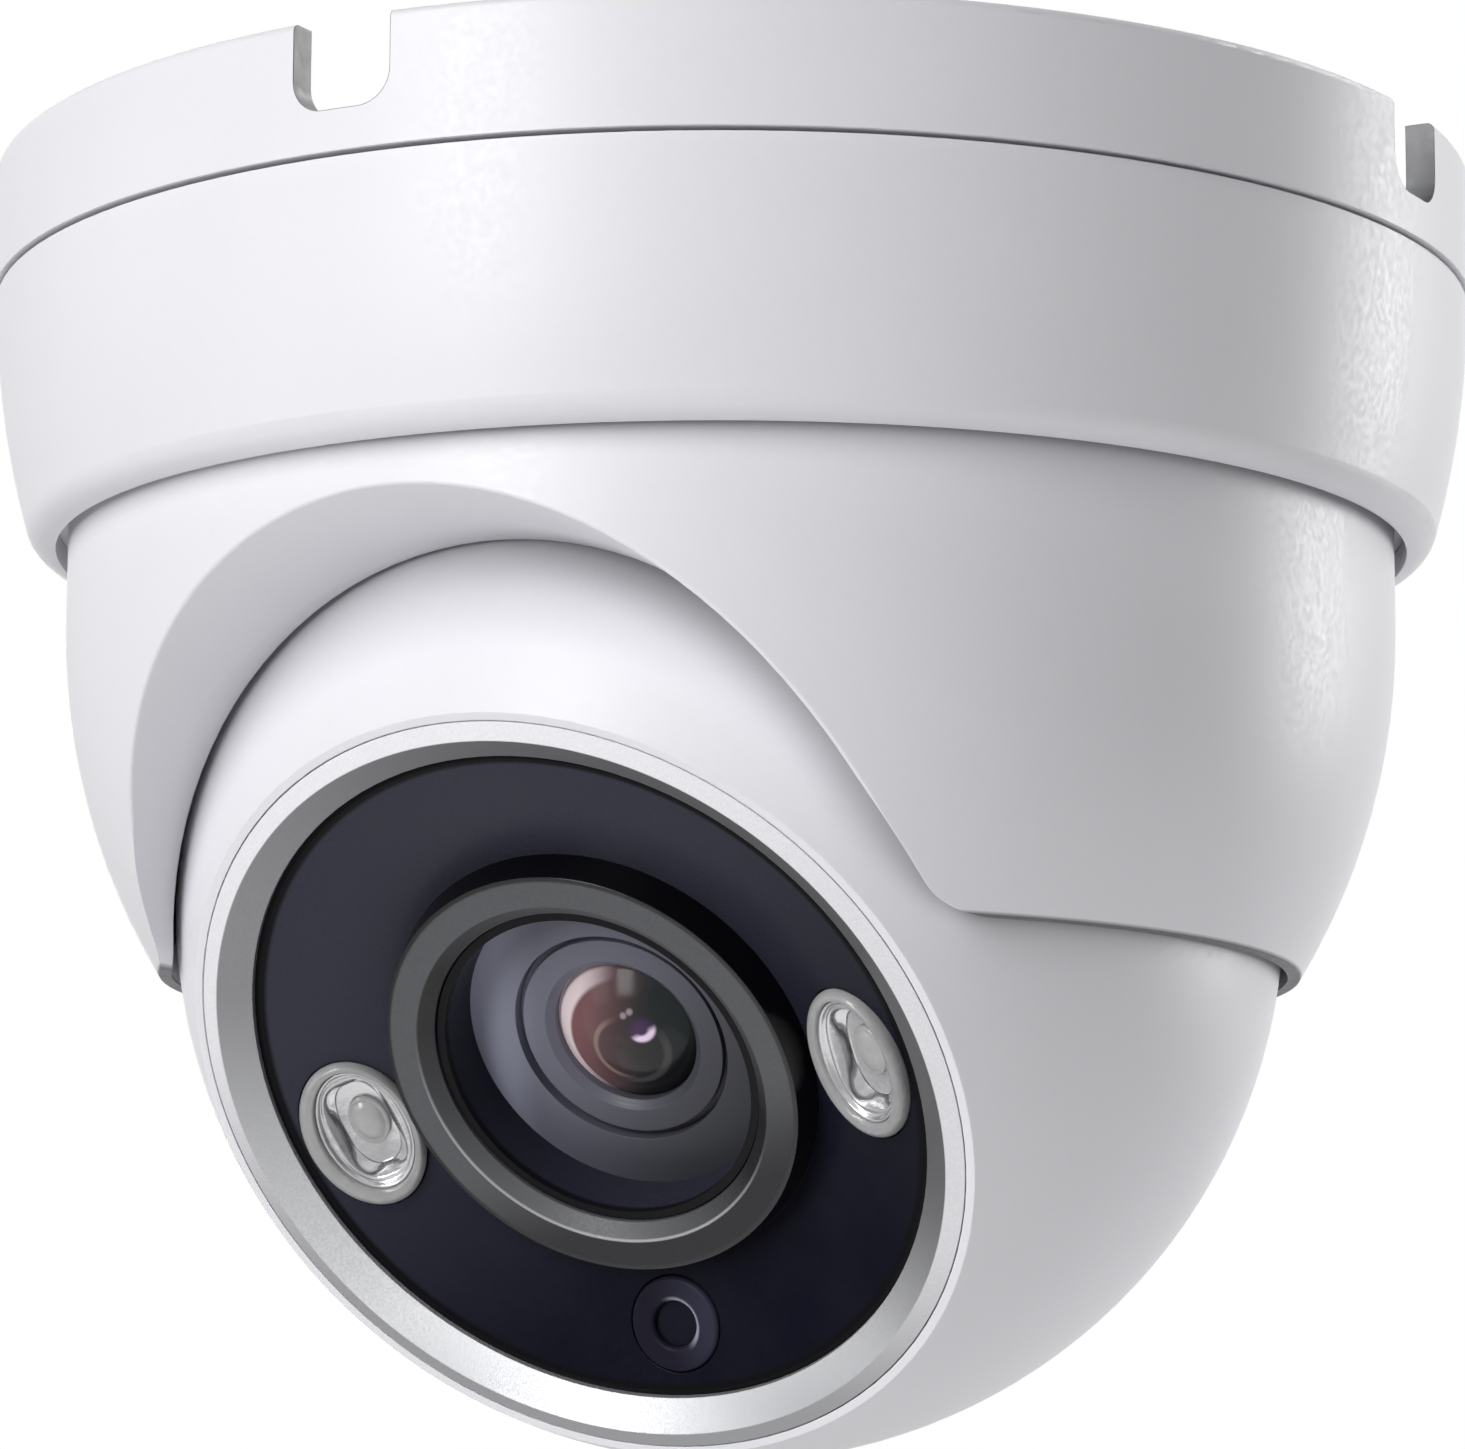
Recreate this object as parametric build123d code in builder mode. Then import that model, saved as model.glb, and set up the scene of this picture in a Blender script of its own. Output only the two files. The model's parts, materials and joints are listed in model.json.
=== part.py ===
"""Ceiling eyeball security camera, hanging below the ceiling that it is screwed to.

The origin is the centre of the ceiling face and +Z points up into the ceiling. At rest the eye looks
along -Y and down. The base is screwed to the ceiling. The locking ring twists on to the base and
clamps the dome shell, which pans below it. The eye turns in the shell like a ball in a socket, and a
visor arch through the front of the shell leaves its face free.
"""
import os
from math import asin, atan2, cos, degrees, radians, sin, sqrt, tan

from build123d import *

os.makedirs("parts", exist_ok=True)

# Clearances between pieces
parting_gap = 0.3     # dark line between the base and the locking ring
running_gap = 0.4     # round faces that turn past each other
socket_gap = 0.35     # ball to the collar that presses on it
shell_gap = 0.6       # ball to the shell, seen as a dark line
face_gap = 0.2        # flat faces that slide past each other
fit_gap = 0.1         # pieces pushed into each other

# Base
band_height = 9.3
band_overhang = 0.3   # how far the band stands out past the locking ring
base_wall = 2.2
plate_thickness = 2.3
base_edge_radius = 0.6
screw_inset = 13.0    # outside of the base in to the screw circle
screw_count = 4
screw_hole_radius = 2.25
screw_boss_radius = 5.0
cable_hole_radius = 12.0
cable_rim_wall = 2.0
cable_rim_height = 2.4
notch_count = 4
notch_width = 7.6
notch_depth = 6.4
notch_corner_radius = 2.4
plate_rib_count = 8
plate_rib_width = 1.6
plate_rib_height = 1.6
spigot_wall = 2.3
spigot_rise = 6.0     # foot of the locking ring up to the end of the spigot
lug_count = 3
lug_angle = 40.0
lug_reach = 1.3
lug_height = 2.5
lug_root = 0.5        # how far a lug is sunk into the wall that carries it
lug_drop = 5.2        # from the underside of the base band to the top of its lugs
pan_gasket_thickness = 0.9

# Locking ring
ring_height = 18.4
ring_taper = 3.0      # how much further out the top stands than the foot
ring_bulge = 0.7      # how far the side bows out from a straight cone
ring_wall = 2.1       # at the top, round the bayonet
ring_foot_width = 1.8
ring_nose_radius = 2.2
ring_lip_gap = 0.8    # open line between the lip and the shell
ring_lip_slope = 0.1
ring_lip_rise = 1.45

# Dome shell and its visor
shell_room = 8.4      # outside of the ball to the outside of the shell
shell_below_ring = 5.45
ball_below_shell = 20.05  # between the centres of the two spheres
rim_below_ball = 5.7
shell_wall = 2.0
flange_reach = 1.9
flange_thickness = 3.1
arch_room = 2.16      # front edge of the ball out to the arch
arch_clear = 1.8      # visor's wall down from the friction collar
visor_wall = 2.6
visor_flare = 6.0     # degrees that the mouth of the arch opens
flare_start = 36.0    # middle of the dome out to where the arch starts to open
visor_edge_radius = 0.25
visor_corner_radius = 2.2
collar_seat_wall = 1.1
collar_height = 4.7
collar_web = 2.0
collar_opening = 70.0  # degrees left open at the back, where the lead swings

# Eye
ball_wall = 2.2
eye_tilt = 35.3       # degrees below the horizon at rest
front_height = 28.1   # ball centre to the lip of the bezel
front_land = 1.243    # flat edge of the ball round the bezel
split_depth = 20.0    # ball centre back to the joint of its two halves
seal_thickness = 0.6
seal_recess = 0.4
rear_cut = 4.7        # how much of the back of the ball is cut off flat
thread_length = 4.0
thread_wall = 1.7
spanner_slot_radius = 14.0
spanner_slot_length = 5.0
spanner_slot_width = 2.2
spanner_slot_depth = 1.0

# Face of the eye
bezel_land = 0.3
bezel_rim_width = 0.95  # rim that laps over the front of the ball
bezel_rim_thickness = 0.8
bezel_rim_drop = 0.45   # outer edge of the rim back from its lip
bezel_cone_width = 2.0
bezel_cone_depth = 1.7
bezel_edge = 0.4
mask_dish_depth = 3.25
mask_dish_edge = 0.4
mask_floor = 1.7
mask_flange_height = 3.0
mask_gasket_thickness = 0.8
seat_ledge_width = 2.0
seat_ledge_thickness = 2.4
mask_post_length = 1.0  # below the floor of the dish
mask_post_radius = 2.2
mask_post_inset = 1.6   # in from the lamps' circle
mask_post_angles = (90.0, 222.0, 318.0)
board_thickness = 1.6
lamp_gap = 0.2        # collar to the lamps' caps
lamp_margin = 0.7     # lamps' caps to the throat of the bezel
lamp_droop = 6.1      # degrees that each lamp sits below the lens
lamp_turn = 5.0       # degrees that the lamps' line is turned about the lens
cap_width = 8.6
cap_length = 11.6
cap_wall = 0.6
cap_proud = 1.2
cap_edge_radius = 1.0
cap_flange = 0.5
cap_flange_height = 1.0
cap_seat_depth = 1.2
cup_throat_radius = 1.9
cup_edge = 0.3
chip_size = 2.2
chip_height = 2.0
sensor_bezel_radius = 3.5
sensor_bezel_depth = 2.2
sensor_bezel_proud = 0.35
sensor_bezel_edge = 0.35
sensor_window_radius = 1.7
sensor_window_thickness = 0.6
sensor_step = 0.3
photo_diode_radius = 1.2
photo_diode_height = 1.6

# Lens
collar_base_radius = 16.4
collar_step = 0.6     # base of the collar in to its neck in the mask
collar_taper = 0.56
collar_face_width = 2.34
collar_bevel = 1.0
collar_proud = 2.45
collar_edge_radius = 0.5
shroud_wall = 0.6
shroud_drop = 1.2
well_depth = 5.4      # front of the collar down to the face of the lens barrel
barrel_flange = 2.0
barrel_flange_reach = 3.4
barrel_length = 12.0
barrel_wall = 3.0
barrel_front_wall = 0.75
barrel_recess_depth = 1.5
retainer_thickness = 1.2
retainer_groove = 0.45  # gap round the top of the retaining ring
retainer_bevel = 0.55
front_glass_step = 0.5
front_glass_rise = 2.2
front_glass_thickness = 2.7
inner_glass_count = 2
inner_glass_thickness = 2.0
glass_hollow = 0.5
spacer_wall = 0.8
lock_ring_reach = 2.0
lock_ring_height = 2.0
lock_ring_slots = 4
lock_ring_slot_width = 1.6
focus_gap = 0.5       # room to screw the barrel in and out
holder_length = 26.0
holder_width = 18.0
holder_block_height = 7.5
holder_tube_height = 6.5
holder_tube_wall = 2.0
light_path_radius = 4.4

# Day and night filter slide
filter_travel = 6.0
slide_length = 15.0
slide_width = 12.0
slide_thickness = 1.2
slide_rail = 1.0
slide_lift = 3.4      # sensor board up to the rails that the slide runs on
slide_headroom = 2.2
window_length = 4.8
window_width = 7.0
filter_lap = 0.4
filter_thickness = 0.5
coil_length = 12.0
coil_width = 5.0
coil_height = 6.0

# Boards behind the lens
sensor_board_size = 34.0
sensor_board_corner = 2.5
image_chip_length = 12.0
image_chip_width = 9.0
image_chip_height = 1.4
standoff_inset = 3.0  # edge of the sensor board in to its screws
standoff_radius = 2.5
standoff_length = 9.8
post_inset = 2.5      # edge of the main board in to its screws
post_count = 3
post_first_angle = 30.0
post_radius = 2.6
processor_size = 14.0
processor_height = 1.8
capacitor_radius = 3.2
capacitor_height = 8.0
capacitor_pitch = 8.0
capacitor_offset = 16.0
connector_length = 14.0
connector_width = 6.0
connector_height = 7.0
connector_wall = 0.8
connector_offset = 17.0

# Screws that hold the boards
screw_shank_radius = 1.0
screw_head_radius = 1.9
screw_head_height = 1.3
screw_bite = 4.0      # thread length past what the screw clamps
mask_screw_bite = 2.2

# Cable gland at the back of the eye
gland_shaft_radius = 4.4
gland_bore_radius = 2.6
gland_flange_radius = 7.0
gland_flange_thickness = 1.6
gland_boot_length = 3.6
gland_boot_radius = 4.2
gland_nut_width = 12.0
gland_nut_height = 2.0

# Radii of the eye, from the lens out to the ball
collar_neck_radius = collar_base_radius - collar_step
collar_face_radius = collar_base_radius - collar_taper
collar_lip_radius = collar_face_radius - collar_face_width
collar_bore_radius = collar_lip_radius - collar_bevel
shroud_radius = collar_bore_radius - fit_gap
barrel_radius = shroud_radius - barrel_flange_reach
barrel_bore = barrel_radius - barrel_wall
barrel_recess_radius = barrel_radius - barrel_front_wall
front_glass_radius = barrel_bore - front_glass_step
lamp_circle = collar_base_radius + lamp_gap + cap_width / 2
bezel_throat_radius = lamp_circle + cap_width / 2 + lamp_margin
bezel_lip_radius = bezel_throat_radius + bezel_cone_width
bezel_seat_radius = bezel_lip_radius + bezel_land
bezel_rim_radius = bezel_seat_radius + bezel_rim_width
mask_radius = bezel_seat_radius - fit_gap
mask_dish_radius = bezel_throat_radius - mask_dish_edge
seat_ledge_radius = bezel_seat_radius - seat_ledge_width
lamp_board_radius = seat_ledge_radius - running_gap
front_radius = bezel_seat_radius + front_land
ball_radius = sqrt(front_radius**2 + front_height**2)
ball_inside = ball_radius - ball_wall
socket_radius = ball_radius + socket_gap
socket_hollow = ball_radius + shell_gap
thread_radius = sqrt(ball_inside**2 - split_depth**2) - fit_gap
main_board_radius = thread_radius - thread_wall - fit_gap
standoff_pitch = sensor_board_size - 2 * standoff_inset
post_circle = main_board_radius - post_inset

# Radii of the housing, from the ball out to the base
arch_radius = front_radius + arch_room
shell_radius = ball_radius + shell_room
neck_bore = shell_radius - shell_wall
collar_seat_radius = shell_radius - collar_seat_wall
flange_radius = shell_radius + flange_reach
ring_lip_radius = shell_radius + ring_lip_gap
ring_foot_radius = ring_lip_radius + ring_foot_width
ring_top_radius = ring_foot_radius + ring_taper
ring_upper_bore = ring_top_radius - ring_wall
ring_lower_bore = flange_radius + running_gap
spigot_radius = ring_upper_bore - running_gap - lug_reach
base_radius = ring_top_radius + band_overhang
screw_circle = base_radius - screw_inset

# Heights below the ceiling, on Z
plate_top = -(band_height - plate_thickness)
ring_top = -(band_height + parting_gap)
ring_foot = ring_top - ring_height
spigot_end = ring_foot + spigot_rise
base_lug_top = -(band_height + lug_drop)
ring_lug_bottom = base_lug_top + face_gap
flange_top = spigot_end - pan_gasket_thickness - face_gap
flange_bottom = flange_top - flange_thickness
ring_ledge = flange_bottom - face_gap / 2
collar_top = flange_top - face_gap
collar_seat = collar_top - collar_height
shell_middle = ring_foot - shell_below_ring
ball_middle = shell_middle - ball_below_shell
rim = ball_middle - rim_below_ball
arch_middle = collar_seat - arch_clear - visor_wall - arch_radius

# Heights along the aim, from the ball's centre
bezel_rim_seat = front_height - bezel_rim_thickness
bezel_rim_edge = front_height - bezel_rim_drop
mask_rim = front_height - bezel_cone_depth - bezel_edge
mask_back = mask_rim - mask_flange_height
mask_root = mask_rim - mask_dish_depth
dish_back = mask_root - mask_floor
ledge_top = mask_back - mask_gasket_thickness
ledge_bottom = ledge_top - seat_ledge_thickness
lamp_board_top = dish_back - mask_post_length
lamp_board_back = lamp_board_top - board_thickness
collar_front = mask_root + collar_proud
lens_face = collar_front - well_depth
barrel_shoulder = lens_face - barrel_flange
barrel_end = barrel_shoulder - barrel_length
recess_floor = lens_face - barrel_recess_depth
holder_shoulder = barrel_end - focus_gap
holder_top = holder_shoulder + holder_tube_height
sensor_board_top = holder_shoulder - holder_block_height
sensor_board_back = sensor_board_top - board_thickness
main_board_top = sensor_board_back - standoff_length
main_board_back = main_board_top - board_thickness
slide_floor = sensor_board_top + slide_lift
slide_bottom = slide_floor + face_gap
slide_top = slide_bottom + slide_thickness
rear_depth = ball_radius - rear_cut
rear_wall_inside = -(rear_depth - ball_wall)
rear_half_edge = -(split_depth + seal_thickness)

# Planes and axes of the eye: across, up the face, and out along the aim
eye = Plane(
    origin=(0, 0, ball_middle),
    x_dir=(1, 0, 0),
    z_dir=(0, -cos(radians(eye_tilt)), -sin(radians(eye_tilt))),
)
eye_section = Plane(origin=eye.origin, x_dir=eye.x_dir, z_dir=-eye.y_dir)
aim = Axis(eye.origin, eye.z_dir)

# Places on the sloping dish of the mask: the lamps either side of the lens, the light sensor below it
dish_slope = degrees(atan2(mask_dish_depth, mask_dish_radius - collar_base_radius))
spot_height = mask_root + (lamp_circle - collar_base_radius) * tan(radians(dish_slope))
lamp_angles = (lamp_turn - lamp_droop, lamp_turn + 180 + lamp_droop)
sensor_angle = 270.0


def face_plane(angle):
    """Plane on the dish at the lamps' circle: out along the slope, round the face, and out of it."""
    spot = Pos(0, 0, spot_height) * Rot(0, 0, angle) * Pos(lamp_circle, 0, 0) * Rot(0, -dish_slope, 0)
    return Plane(eye.location * spot)


def face_spots(radius, angles):
    """Points round the face of the eye, across and up it."""
    return [(radius * cos(radians(a)), radius * sin(radians(a))) for a in angles]


def lamp_oval(grow):
    """Sketch of a lamp's outline, made larger all round."""
    Ellipse(cap_width / 2 + grow, cap_length / 2 + grow)


def half_chord(radius, height):
    """Distance from the axis of a point on a circle at this height above its centre."""
    return sqrt(radius**2 - height**2)


def eye_arc(radius, low, high):
    """Line of a sphere about the ball's centre, between two heights along the aim."""
    start = degrees(asin(low / radius))
    end = degrees(asin(high / radius))
    return CenterArc((0, 0), radius, start, end - start)


def crown(edge, height, rise):
    """Line of a shallow domed face from its edge in to the axis; a negative rise hollows it."""
    radius = (edge**2 + rise**2) / (2 * abs(rise))
    sag = (radius - half_chord(radius, edge / 2)) * (1 if rise > 0 else -1)
    return ThreePointArc((edge, height), (edge / 2, height + rise - sag), (0, height + rise))


def annulus(outer, inner):
    """Sketch of a flat ring."""
    Circle(outer)
    Circle(inner, mode=Mode.SUBTRACT)


def lug_sketch(outer, inner):
    """Sketch of the bayonet lugs, as wedges trimmed to a ring."""
    far = 2 * outer
    half_width = far * sin(radians(lug_angle / 2)) / cos(radians(lug_angle / 2))
    with PolarLocations(0, lug_count):
        Polygon((0, 0), (far, -half_width), (far, half_width), align=None)
    Circle(outer, mode=Mode.INTERSECT)
    Circle(inner, mode=Mode.SUBTRACT)


def on_visor_mouth(edge):
    """Whether an edge runs round the open mouth of the visor's arch, on the outside of the shell."""
    middle = edge @ 0.5
    off_dome = abs(sqrt(middle.X**2 + middle.Y**2 + (middle.Z - shell_middle) ** 2) - shell_radius)
    return off_dome < fit_gap and -middle.Y > flare_start and middle.Z > rim + fit_gap


# Base: a cast ring with a recessed plate, screw bosses, cable notches and the spigot for the ring
with BuildPart() as base_housing:
    with BuildSketch():
        Circle(base_radius)
    extrude(amount=-band_height)
    fillet(base_housing.edges().group_by(Axis.Z)[-1], base_edge_radius)
    with BuildSketch():
        Circle(base_radius - base_wall)
    extrude(amount=plate_top, mode=Mode.SUBTRACT)
    with BuildSketch(Plane.XY.offset(plate_top)):
        annulus(cable_hole_radius + cable_rim_wall, cable_hole_radius)
    extrude(amount=cable_rim_height)
    with BuildSketch(Plane.XY.offset(plate_top)):
        rib_middle = (cable_hole_radius + base_radius - base_wall) / 2
        rib_length = base_radius - base_wall - cable_hole_radius - cable_rim_wall / 2
        with PolarLocations(rib_middle, plate_rib_count, 180 / plate_rib_count):
            Rectangle(rib_length, plate_rib_width)
    extrude(amount=plate_rib_height)
    with BuildSketch():
        with PolarLocations(screw_circle, screw_count, 180 / screw_count):
            Circle(screw_boss_radius)
    extrude(amount=plate_top)
    with BuildSketch(Plane.XY.offset(-band_height)):
        annulus(spigot_radius, spigot_radius - spigot_wall)
    extrude(amount=spigot_end + band_height)
    with BuildSketch(Plane.XY.offset(base_lug_top)):
        lug_sketch(spigot_radius + lug_reach, spigot_radius - lug_root)
    extrude(amount=-lug_height)
    with BuildSketch(Plane.XY.offset(plate_top)):
        Circle(cable_hole_radius)
    extrude(amount=-plate_thickness, mode=Mode.SUBTRACT)
    with PolarLocations(screw_circle, screw_count, 180 / screw_count):
        Hole(screw_hole_radius)
    for turn in range(notch_count):
        side = Plane.XZ.rotated((0, 0, 360 / notch_count * turn))
        with BuildSketch(side.offset(base_radius - 2 * base_wall)):
            RectangleRounded(notch_width, 2 * notch_depth, notch_corner_radius)
        extrude(amount=2 * base_wall, mode=Mode.SUBTRACT)

# Rubber friction washer under the spigot
with BuildPart() as pan_gasket:
    with BuildSketch(Plane.XY.offset(spigot_end)):
        annulus(spigot_radius - fit_gap, spigot_radius - spigot_wall + fit_gap)
    extrude(amount=-pan_gasket_thickness)

# Locking ring: bowed outside, inward lugs above the base's lugs, and a lip under the shell's flange
with BuildPart() as locking_ring:
    with BuildSketch(Plane.XZ) as ring_profile:
        with BuildLine():
            middle = ((ring_top_radius + ring_foot_radius) / 2 + ring_bulge, (ring_top + ring_foot) / 2)
            ThreePointArc((ring_top_radius, ring_top), middle, (ring_foot_radius, ring_foot))
            Polyline(
                (ring_foot_radius, ring_foot),
                (ring_lip_radius + ring_lip_slope, ring_foot),
                (ring_lip_radius, ring_foot + ring_lip_rise),
                (ring_lip_radius, ring_ledge),
                (ring_lower_bore, ring_ledge),
                (ring_lower_bore, base_lug_top - lug_height - face_gap),
                (ring_upper_bore, base_lug_top - lug_height - face_gap),
                (ring_upper_bore, ring_top),
                (ring_top_radius, ring_top),
            )
        make_face()
        lowest = ring_profile.vertices().sort_by(Axis.Y)[:2].sort_by(Axis.X)
        fillet(lowest[1], ring_nose_radius)
    revolve(axis=Axis.Z)
    with BuildSketch(Plane.XY.offset(ring_lug_bottom)):
        lug_sketch(ring_upper_bore + lug_root, spigot_radius + running_gap)
    extrude(amount=lug_height)

# Hollow of the dome shell, with the visor's wall left standing
with BuildPart() as shell_hollow:
    with BuildSketch(Plane.XZ):
        with BuildLine():
            CenterArc((0, shell_middle), neck_bore, -90, 90)
            Polyline(
                (neck_bore, shell_middle),
                (neck_bore, collar_seat),
                (collar_seat_radius, collar_seat),
                (collar_seat_radius, flange_top),
                (0, flange_top),
                (0, shell_middle - neck_bore),
            )
        make_face()
    revolve(axis=Axis.Z)
    with BuildSketch(Plane.XZ):
        with Locations((0, arch_middle)):
            Circle(arch_radius + visor_wall)
    extrude(amount=base_radius, mode=Mode.SUBTRACT)

# Dome shell: spherical skirt with a clamped flange, and the arched visor tunnel in to the ball
with BuildPart() as dome_shell:
    with BuildSketch(Plane.XZ):
        with BuildLine():
            rim_angle = degrees(asin((shell_middle - rim) / shell_radius))
            rim_radius = half_chord(shell_radius, shell_middle - rim)
            CenterArc((0, shell_middle), shell_radius, -rim_angle, rim_angle)
            Polyline(
                (shell_radius, shell_middle),
                (shell_radius, flange_bottom),
                (flange_radius, flange_bottom),
                (flange_radius, flange_top),
                (0, flange_top),
                (0, rim),
                (rim_radius, rim),
            )
        make_face()
    revolve(axis=Axis.Z)
    add(shell_hollow.part, mode=Mode.SUBTRACT)
    with Locations(eye.origin):
        Sphere(socket_hollow, mode=Mode.SUBTRACT)
    with BuildSketch(Plane.XZ) as visor_cut:
        with Locations((0, arch_middle)):
            Circle(arch_radius)
        with Locations((0, rim)):
            Rectangle(2 * base_radius, base_radius, align=(Align.CENTER, Align.MAX))
        corners = visor_cut.vertices().group_by(Axis.Y)[-1].sort_by(Axis.X)
        fillet(corners[1:-1], visor_corner_radius)
    extrude(amount=base_radius, mode=Mode.SUBTRACT)
    mouth_radius = arch_radius + (base_radius - flare_start) * tan(radians(visor_flare))
    with BuildSketch(Plane.YZ):
        with BuildLine():
            Polyline(
                (-flare_start, arch_middle),
                (-flare_start, arch_middle + arch_radius),
                (-base_radius, arch_middle + mouth_radius),
                (-base_radius, arch_middle),
                close=True,
            )
        make_face()
    revolve(axis=Axis((0, 0, arch_middle), (0, 1, 0)), mode=Mode.SUBTRACT)
    fillet(dome_shell.edges().filter_by(on_visor_mouth), visor_edge_radius)

# Friction collar that presses on the ball, open at the back for the lead
with BuildPart() as friction_collar:
    with BuildSketch(Plane.XZ):
        web_top = collar_seat + collar_web
        seat_low = half_chord(socket_radius, collar_seat - ball_middle)
        seat_high = half_chord(socket_radius, web_top - ball_middle)
        outside = collar_seat_radius - fit_gap
        with BuildLine():
            RadiusArc((seat_low, collar_seat), (seat_high, web_top), -socket_radius)
            Polyline(
                (seat_high, web_top),
                (outside - collar_web, web_top),
                (outside - collar_web, collar_top),
                (outside, collar_top),
                (outside, collar_seat),
                (seat_low, collar_seat),
            )
        make_face()
    revolve(axis=Axis.Z)
    with BuildSketch(Plane.XY.offset(collar_seat)):
        reach = 2 * shell_radius
        half_width = reach * sin(radians(collar_opening / 2)) / cos(radians(collar_opening / 2))
        Polygon((0, 0), (half_width, reach), (-half_width, reach), align=None)
    extrude(amount=collar_height, mode=Mode.SUBTRACT)

# Front of the ball, with the ledge for the mask, posts for the main board and the rear thread
with BuildPart() as ball_front:
    with BuildSketch(eye_section):
        with BuildLine():
            eye_arc(ball_radius, -split_depth, bezel_rim_edge)
            Polyline(
                (half_chord(ball_radius, bezel_rim_edge), bezel_rim_edge),
                (bezel_rim_radius + fit_gap, bezel_rim_edge),
                (bezel_rim_radius + fit_gap, bezel_rim_seat),
                (bezel_seat_radius, bezel_rim_seat),
                (bezel_seat_radius, ledge_top),
                (seat_ledge_radius, ledge_top),
                (seat_ledge_radius, ledge_bottom),
                (half_chord(ball_inside, ledge_bottom), ledge_bottom),
            )
            thread_top = thread_length - split_depth
            eye_arc(ball_inside, thread_top, ledge_bottom)
            Polyline(
                (half_chord(ball_inside, thread_top), thread_top),
                (thread_radius + fit_gap, thread_top),
                (thread_radius + fit_gap, -split_depth),
                (half_chord(ball_radius, split_depth), -split_depth),
            )
        make_face()
    revolve(axis=aim)
    with BuildSketch(eye.offset(main_board_top)):
        with PolarLocations(post_circle, post_count, post_first_angle):
            Circle(post_radius)
    extrude(amount=ledge_bottom - main_board_top)
    with BuildSketch(eye.offset(ledge_bottom)):
        Circle(seat_ledge_radius)
    extrude(amount=lamp_board_back - screw_head_height - ledge_bottom, mode=Mode.SUBTRACT)
    with BuildSketch(eye.offset(main_board_top)):
        with PolarLocations(post_circle, post_count, post_first_angle):
            Circle(screw_shank_radius)
    extrude(amount=screw_bite, mode=Mode.SUBTRACT)

# Rear of the ball: a screwed cap with spanner slots and the hole for the gland
with BuildPart() as ball_rear:
    with BuildSketch(eye_section):
        with BuildLine():
            eye_arc(ball_radius, -rear_depth, rear_half_edge)
            Polyline(
                (half_chord(ball_radius, rear_half_edge), rear_half_edge),
                (thread_radius, rear_half_edge),
                (thread_radius, thread_length - split_depth),
                (thread_radius - thread_wall, thread_length - split_depth),
                (thread_radius - thread_wall, -half_chord(ball_inside, thread_radius - thread_wall)),
            )
            eye_arc(ball_inside, rear_wall_inside, -half_chord(ball_inside, thread_radius - thread_wall))
            Polyline(
                (half_chord(ball_inside, rear_wall_inside), rear_wall_inside),
                (gland_shaft_radius + fit_gap, rear_wall_inside),
                (gland_shaft_radius + fit_gap, -rear_depth),
                (half_chord(ball_radius, rear_depth), -rear_depth),
            )
        make_face()
    revolve(axis=aim)
    with BuildSketch(eye.offset(-rear_depth)):
        with PolarLocations(spanner_slot_radius, 2):
            SlotOverall(spanner_slot_length, spanner_slot_width)
    extrude(amount=spanner_slot_depth, mode=Mode.SUBTRACT)

# Seal between the two halves of the ball
with BuildPart() as ball_seal:
    with BuildSketch(eye.offset(rear_half_edge)):
        annulus(half_chord(ball_radius, split_depth) - seal_recess, thread_radius + fit_gap)
    extrude(amount=seal_thickness)

# Bezel: the coned ring round the face, with a sloping rim let into the front of the ball
with BuildPart() as front_bezel:
    with BuildSketch(eye_section):
        with BuildLine():
            Polyline(
                (mask_radius, mask_rim),
                (mask_radius, bezel_rim_seat),
                (bezel_rim_radius, bezel_rim_seat),
                (bezel_rim_radius, bezel_rim_edge),
                (bezel_lip_radius, front_height),
                (bezel_throat_radius, front_height - bezel_cone_depth),
                (bezel_throat_radius, mask_rim),
                close=True,
            )
        make_face()
    revolve(axis=aim)

# Gasket under the mask
with BuildPart() as mask_gasket:
    with BuildSketch(eye.offset(ledge_top)):
        annulus(mask_radius, seat_ledge_radius + fit_gap)
    extrude(amount=mask_gasket_thickness)

# Black mask: a coned dish with openings for the lens, the lamps and the light sensor
with BuildPart() as front_mask:
    with BuildSketch(eye_section):
        with BuildLine():
            Polyline(
                (0, dish_back),
                (collar_base_radius, dish_back),
                (collar_base_radius + (mask_back - dish_back) / tan(radians(dish_slope)), mask_back),
                (mask_radius, mask_back),
                (mask_radius, mask_rim),
                (0, mask_rim),
                close=True,
            )
        make_face()
    revolve(axis=aim)
    with BuildSketch(eye.offset(lamp_board_top)):
        with Locations(*face_spots(lamp_circle - mask_post_inset, mask_post_angles)):
            Circle(mask_post_radius)
    extrude(amount=mask_rim - lamp_board_top)
    with BuildSketch(eye_section):
        with BuildLine():
            Polyline(
                (0, mask_root),
                (collar_base_radius, mask_root),
                (mask_dish_radius, mask_rim),
                (0, mask_rim),
                close=True,
            )
        make_face()
    revolve(axis=aim, mode=Mode.SUBTRACT)
    with BuildSketch(eye.offset(lamp_board_top)):
        Circle(collar_neck_radius + fit_gap)
    extrude(amount=mask_root - lamp_board_top, mode=Mode.SUBTRACT)
    for angle in lamp_angles:
        with BuildSketch(face_plane(angle)):
            lamp_oval(fit_gap)
        extrude(amount=mask_flange_height, both=True, mode=Mode.SUBTRACT)
        with BuildSketch(face_plane(angle).offset(-cap_seat_depth)):
            lamp_oval(cap_flange + fit_gap)
        extrude(amount=-mask_flange_height, mode=Mode.SUBTRACT)
    with BuildSketch(face_plane(sensor_angle)):
        Circle(sensor_bezel_radius + fit_gap)
    extrude(amount=mask_flange_height, both=True, mode=Mode.SUBTRACT)
    with BuildSketch(eye.offset(lamp_board_top)):
        with Locations(*face_spots(lamp_circle - mask_post_inset, mask_post_angles)):
            Circle(screw_shank_radius)
    extrude(amount=mask_screw_bite, mode=Mode.SUBTRACT)

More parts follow.
